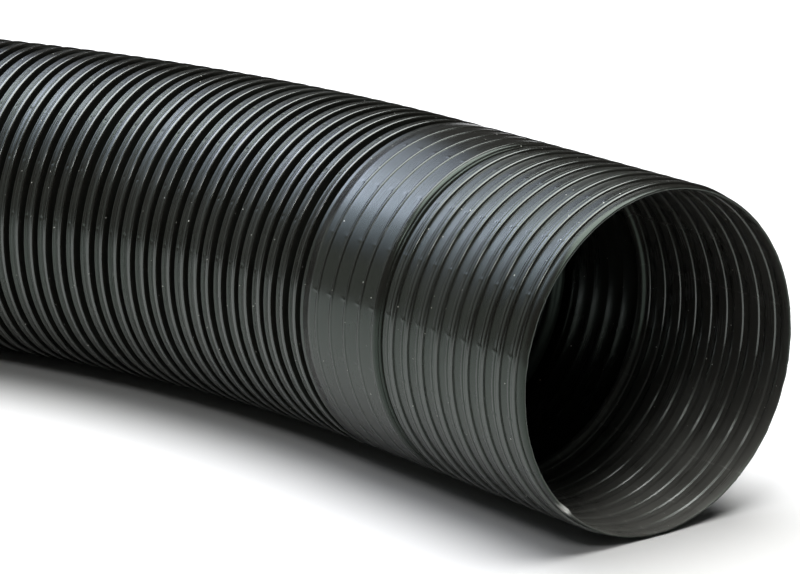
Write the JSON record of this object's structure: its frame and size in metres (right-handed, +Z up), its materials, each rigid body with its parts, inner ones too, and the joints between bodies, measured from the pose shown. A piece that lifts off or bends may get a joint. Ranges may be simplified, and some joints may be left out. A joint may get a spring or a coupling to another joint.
{
  "type": "flexible air duct",
  "caption": "Short black corrugated plastic air duct that bends, stretches and stays put, with a ribbed push-on cuff and a plain band at each end.",
  "frame": {"origin": "centre of the mouth, on the duct's axis at the open edge of the mouth cuff", "axes": "+X out of the mouth along the cuff's axis, +Z up as the duct lies, and the pleated run curves towards -Y on its way to the far end"},
  "size_m": [0.3542, 0.1687, 0.0788],
  "materials": {
    "duct_plastic": "satin-gloss moulded black plastic with fine circumferential lines"
  },
  "bodies": {
    "mouth_end": {"mouth_cuff": "duct_plastic", "mouth_band": "duct_plastic"},
    "pleat_01": {"pleat_01": "duct_plastic"},
    "pleat_02": {"pleat_02": "duct_plastic"},
    "pleat_03": {"pleat_03": "duct_plastic"},
    "pleat_04": {"pleat_04": "duct_plastic"},
    "pleat_05": {"pleat_05": "duct_plastic"},
    "pleat_06": {"pleat_06": "duct_plastic"},
    "pleat_07": {"pleat_07": "duct_plastic"},
    "pleat_08": {"pleat_08": "duct_plastic"},
    "pleat_09": {"pleat_09": "duct_plastic"},
    "pleat_10": {"pleat_10": "duct_plastic"},
    "pleat_11": {"pleat_11": "duct_plastic"},
    "pleat_12": {"pleat_12": "duct_plastic"},
    "pleat_13": {"pleat_13": "duct_plastic"},
    "pleat_14": {"pleat_14": "duct_plastic"},
    "pleat_15": {"pleat_15": "duct_plastic"},
    "pleat_16": {"pleat_16": "duct_plastic"},
    "pleat_17": {"pleat_17": "duct_plastic"},
    "pleat_18": {"pleat_18": "duct_plastic"},
    "pleat_19": {"pleat_19": "duct_plastic"},
    "pleat_20": {"pleat_20": "duct_plastic"},
    "pleat_21": {"pleat_21": "duct_plastic"},
    "pleat_22": {"pleat_22": "duct_plastic"},
    "pleat_23": {"pleat_23": "duct_plastic"},
    "pleat_24": {"pleat_24": "duct_plastic"},
    "pleat_25": {"pleat_25": "duct_plastic"},
    "pleat_26": {"pleat_26": "duct_plastic"},
    "pleat_27": {"pleat_27": "duct_plastic"},
    "pleat_28": {"pleat_28": "duct_plastic"},
    "pleat_29": {"pleat_29": "duct_plastic"},
    "pleat_30": {"pleat_30": "duct_plastic"},
    "pleat_31": {"pleat_31": "duct_plastic"},
    "pleat_32": {"pleat_32": "duct_plastic"},
    "pleat_33": {"pleat_33": "duct_plastic"},
    "pleat_34": {"pleat_34": "duct_plastic"},
    "pleat_35": {"pleat_35": "duct_plastic"},
    "pleat_36": {"pleat_36": "duct_plastic"},
    "pleat_37": {"pleat_37": "duct_plastic"},
    "pleat_38": {"pleat_38": "duct_plastic"},
    "pleat_39": {"pleat_39": "duct_plastic"},
    "far_end": {"far_band": "duct_plastic", "far_cuff": "duct_plastic"}
  },
  "joints": [
    {"name": "bend_side_near", "type": "hinge", "parent": "mouth_end", "child": "pleat_01", "pos_m": [-0.07928, 0, 0], "axis": [0.001, 0.0007, 1], "range_deg": [-4, 2.3]},
    {"name": "bend_up_near", "type": "hinge", "parent": "pleat_01", "child": "pleat_02", "pos_m": [-0.08434, -0.00006, 0], "axis": [-0.0179, 0.9998, 0], "range_deg": [-3, 3]},
    {"name": "bend_side_near_2", "type": "hinge", "parent": "pleat_02", "child": "pleat_03", "pos_m": [-0.0894, -0.00018, 0], "axis": [0.001, 0.0007, 1], "range_deg": [-4, 2.3]},
    {"name": "bend_up_near_2", "type": "hinge", "parent": "pleat_03", "child": "pleat_04", "pos_m": [-0.09445, -0.00038, 0], "axis": [-0.0464, 0.9989, 0], "range_deg": [-3, 3]},
    {"name": "stretch_near", "type": "slide", "parent": "pleat_04", "child": "pleat_05", "axis": [-0.9982, -0.0606, 0], "range_m": [-0.0016, 0.0024]},
    {"name": "bend_side_near_3", "type": "hinge", "parent": "pleat_05", "child": "pleat_06", "pos_m": [-0.10455, -0.001, 0], "axis": [0.001, 0.0007, 1], "range_deg": [-4, 2.3]},
    {"name": "bend_up_near_3", "type": "hinge", "parent": "pleat_06", "child": "pleat_07", "pos_m": [-0.1096, -0.00141, 0], "axis": [-0.089, 0.996, 0], "range_deg": [-3, 3]},
    {"name": "bend_side_near_4", "type": "hinge", "parent": "pleat_07", "child": "pleat_08", "pos_m": [-0.11464, -0.00189, 0], "axis": [0.001, 0.0007, 1], "range_deg": [-4, 2.3]},
    {"name": "bend_up_near_4", "type": "hinge", "parent": "pleat_08", "child": "pleat_09", "pos_m": [-0.11966, -0.00245, 0], "axis": [-0.1174, 0.9931, 0], "range_deg": [-3, 3]},
    {"name": "stretch_near_2", "type": "slide", "parent": "pleat_09", "child": "pleat_10", "axis": [-0.9913, -0.1315, 0], "range_m": [-0.0016, 0.0024]},
    {"name": "bend_side_near_5", "type": "hinge", "parent": "pleat_10", "child": "pleat_11", "pos_m": [-0.1297, -0.00378, 0], "axis": [0.001, 0.0007, 1], "range_deg": [-4, 2.3]},
    {"name": "bend_up_near_5", "type": "hinge", "parent": "pleat_11", "child": "pleat_12", "pos_m": [-0.1347, -0.00456, 0], "axis": [-0.1597, 0.9872, 0], "range_deg": [-3, 3]},
    {"name": "bend_side_near_6", "type": "hinge", "parent": "pleat_12", "child": "pleat_13", "pos_m": [-0.13969, -0.0054, 0], "axis": [0.001, 0.0007, 1], "range_deg": [-4, 2.3]},
    {"name": "bend_up_near_6", "type": "hinge", "parent": "pleat_13", "child": "pleat_14", "pos_m": [-0.14466, -0.00632, 0], "axis": [-0.1878, 0.9822, 0], "range_deg": [-3, 3]},
    {"name": "stretch_near_3", "type": "slide", "parent": "pleat_14", "child": "pleat_15", "axis": [-0.9794, -0.2018, 0], "range_m": [-0.0016, 0.0024]},
    {"name": "bend_side_near_7", "type": "hinge", "parent": "pleat_15", "child": "pleat_16", "pos_m": [-0.15457, -0.00836, 0], "axis": [0.001, 0.0007, 1], "range_deg": [-4, 2.3]},
    {"name": "bend_up_near_7", "type": "hinge", "parent": "pleat_16", "child": "pleat_17", "pos_m": [-0.15951, -0.00948, 0], "axis": [-0.2296, 0.9733, 0], "range_deg": [-3, 3]},
    {"name": "bend_side_near_8", "type": "hinge", "parent": "pleat_17", "child": "pleat_18", "pos_m": [-0.16442, -0.01068, 0], "axis": [0.001, 0.0007, 1], "range_deg": [-4, 2.3]},
    {"name": "bend_up_near_8", "type": "hinge", "parent": "pleat_18", "child": "pleat_19", "pos_m": [-0.16932, -0.01195, 0], "axis": [-0.2572, 0.9663, 0], "range_deg": [-3, 3]},
    {"name": "stretch_near_4", "type": "slide", "parent": "pleat_19", "child": "pleat_20", "axis": [-0.9626, -0.271, 0], "range_m": [-0.0016, 0.0024]},
    {"name": "bend_side_far", "type": "hinge", "parent": "pleat_20", "child": "pleat_21", "pos_m": [-0.17906, -0.01469, 0], "axis": [0.001, 0.0007, 1], "range_deg": [-4, 2.3]},
    {"name": "bend_up_far", "type": "hinge", "parent": "pleat_21", "child": "pleat_22", "pos_m": [-0.1839, -0.01616, 0], "axis": [-0.2983, 0.9545, 0], "range_deg": [-3, 3]},
    {"name": "bend_side_far_2", "type": "hinge", "parent": "pleat_22", "child": "pleat_23", "pos_m": [-0.18872, -0.01771, 0], "axis": [0.001, 0.0007, 1], "range_deg": [-4, 2.3]},
    {"name": "bend_up_far_2", "type": "hinge", "parent": "pleat_23", "child": "pleat_24", "pos_m": [-0.19352, -0.01932, 0], "axis": [-0.3254, 0.9456, 0], "range_deg": [-3, 3]},
    {"name": "stretch_far", "type": "slide", "parent": "pleat_24", "child": "pleat_25", "axis": [-0.9408, -0.3388, 0], "range_m": [-0.0016, 0.0024]},
    {"name": "bend_side_far_3", "type": "hinge", "parent": "pleat_25", "child": "pleat_26", "pos_m": [-0.20304, -0.02275, 0], "axis": [0.001, 0.0007, 1], "range_deg": [-4, 2.3]},
    {"name": "bend_up_far_3", "type": "hinge", "parent": "pleat_26", "child": "pleat_27", "pos_m": [-0.20776, -0.02457, 0], "axis": [-0.3655, 0.9308, 0], "range_deg": [-3, 3]},
    {"name": "bend_side_far_4", "type": "hinge", "parent": "pleat_27", "child": "pleat_28", "pos_m": [-0.21246, -0.02645, 0], "axis": [0.001, 0.0007, 1], "range_deg": [-4, 2.3]},
    {"name": "bend_up_far_4", "type": "hinge", "parent": "pleat_28", "child": "pleat_29", "pos_m": [-0.21713, -0.0284, 0], "axis": [-0.3919, 0.92, 0], "range_deg": [-3, 3]},
    {"name": "stretch_far_2", "type": "slide", "parent": "pleat_29", "child": "pleat_30", "axis": [-0.9143, -0.405, 0], "range_m": [-0.0016, 0.0024]},
    {"name": "bend_side_far_5", "type": "hinge", "parent": "pleat_30", "child": "pleat_31", "pos_m": [-0.22638, -0.0325, 0], "axis": [0.001, 0.0007, 1], "range_deg": [-4, 2.3]},
    {"name": "bend_up_far_5", "type": "hinge", "parent": "pleat_31", "child": "pleat_32", "pos_m": [-0.23096, -0.03464, 0], "axis": [-0.4309, 0.9024, 0], "range_deg": [-3, 3]},
    {"name": "bend_side_far_6", "type": "hinge", "parent": "pleat_32", "child": "pleat_33", "pos_m": [-0.23551, -0.03686, 0], "axis": [0.001, 0.0007, 1], "range_deg": [-4, 2.3]},
    {"name": "bend_up_far_6", "type": "hinge", "parent": "pleat_33", "child": "pleat_34", "pos_m": [-0.24003, -0.03913, 0], "axis": [-0.4564, 0.8898, 0], "range_deg": [-3, 3]},
    {"name": "stretch_far_3", "type": "slide", "parent": "pleat_34", "child": "pleat_35", "axis": [-0.8832, -0.4691, 0], "range_m": [-0.0016, 0.0024]},
    {"name": "bend_side_far_7", "type": "hinge", "parent": "pleat_35", "child": "pleat_36", "pos_m": [-0.24897, -0.04388, 0], "axis": [0.001, 0.0007, 1], "range_deg": [-4, 2.3]},
    {"name": "bend_up_far_7", "type": "hinge", "parent": "pleat_36", "child": "pleat_37", "pos_m": [-0.25339, -0.04635, 0], "axis": [-0.494, 0.8694, 0], "range_deg": [-3, 3]},
    {"name": "bend_side_far_8", "type": "hinge", "parent": "pleat_37", "child": "pleat_38", "pos_m": [-0.25777, -0.04888, 0], "axis": [0.001, 0.0007, 1], "range_deg": [-4, 2.3]},
    {"name": "bend_up_far_8", "type": "hinge", "parent": "pleat_38", "child": "pleat_39", "pos_m": [-0.26211, -0.05147, 0], "axis": [-0.5186, 0.855, 0], "range_deg": [-3, 3]},
    {"name": "stretch_far_4", "type": "slide", "parent": "pleat_39", "child": "far_end", "axis": [-0.8475, -0.5308, 0], "range_m": [-0.0016, 0.0024]}
  ],
  "couplings": [
    {"joint": "bend_side_near_2", "follows": "bend_side_near", "ratio": 1},
    {"joint": "bend_up_near_2", "follows": "bend_up_near", "ratio": 1},
    {"joint": "bend_side_near_3", "follows": "bend_side_near", "ratio": 1},
    {"joint": "bend_up_near_3", "follows": "bend_up_near", "ratio": 1},
    {"joint": "bend_side_near_4", "follows": "bend_side_near", "ratio": 1},
    {"joint": "bend_up_near_4", "follows": "bend_up_near", "ratio": 1},
    {"joint": "stretch_near_2", "follows": "stretch_near", "ratio": 1},
    {"joint": "bend_side_near_5", "follows": "bend_side_near", "ratio": 1},
    {"joint": "bend_up_near_5", "follows": "bend_up_near", "ratio": 1},
    {"joint": "bend_side_near_6", "follows": "bend_side_near", "ratio": 1},
    {"joint": "bend_up_near_6", "follows": "bend_up_near", "ratio": 1},
    {"joint": "stretch_near_3", "follows": "stretch_near", "ratio": 1},
    {"joint": "bend_side_near_7", "follows": "bend_side_near", "ratio": 1},
    {"joint": "bend_up_near_7", "follows": "bend_up_near", "ratio": 1},
    {"joint": "bend_side_near_8", "follows": "bend_side_near", "ratio": 1},
    {"joint": "bend_up_near_8", "follows": "bend_up_near", "ratio": 1},
    {"joint": "stretch_near_4", "follows": "stretch_near", "ratio": 1},
    {"joint": "bend_side_far_2", "follows": "bend_side_far", "ratio": 1},
    {"joint": "bend_up_far_2", "follows": "bend_up_far", "ratio": 1},
    {"joint": "bend_side_far_3", "follows": "bend_side_far", "ratio": 1},
    {"joint": "bend_up_far_3", "follows": "bend_up_far", "ratio": 1},
    {"joint": "bend_side_far_4", "follows": "bend_side_far", "ratio": 1},
    {"joint": "bend_up_far_4", "follows": "bend_up_far", "ratio": 1},
    {"joint": "stretch_far_2", "follows": "stretch_far", "ratio": 1},
    {"joint": "bend_side_far_5", "follows": "bend_side_far", "ratio": 1},
    {"joint": "bend_up_far_5", "follows": "bend_up_far", "ratio": 1},
    {"joint": "bend_side_far_6", "follows": "bend_side_far", "ratio": 1},
    {"joint": "bend_up_far_6", "follows": "bend_up_far", "ratio": 1},
    {"joint": "stretch_far_3", "follows": "stretch_far", "ratio": 1},
    {"joint": "bend_side_far_7", "follows": "bend_side_far", "ratio": 1},
    {"joint": "bend_up_far_7", "follows": "bend_up_far", "ratio": 1},
    {"joint": "bend_side_far_8", "follows": "bend_side_far", "ratio": 1},
    {"joint": "bend_up_far_8", "follows": "bend_up_far", "ratio": 1},
    {"joint": "stretch_far_4", "follows": "stretch_far", "ratio": 1}
  ]
}
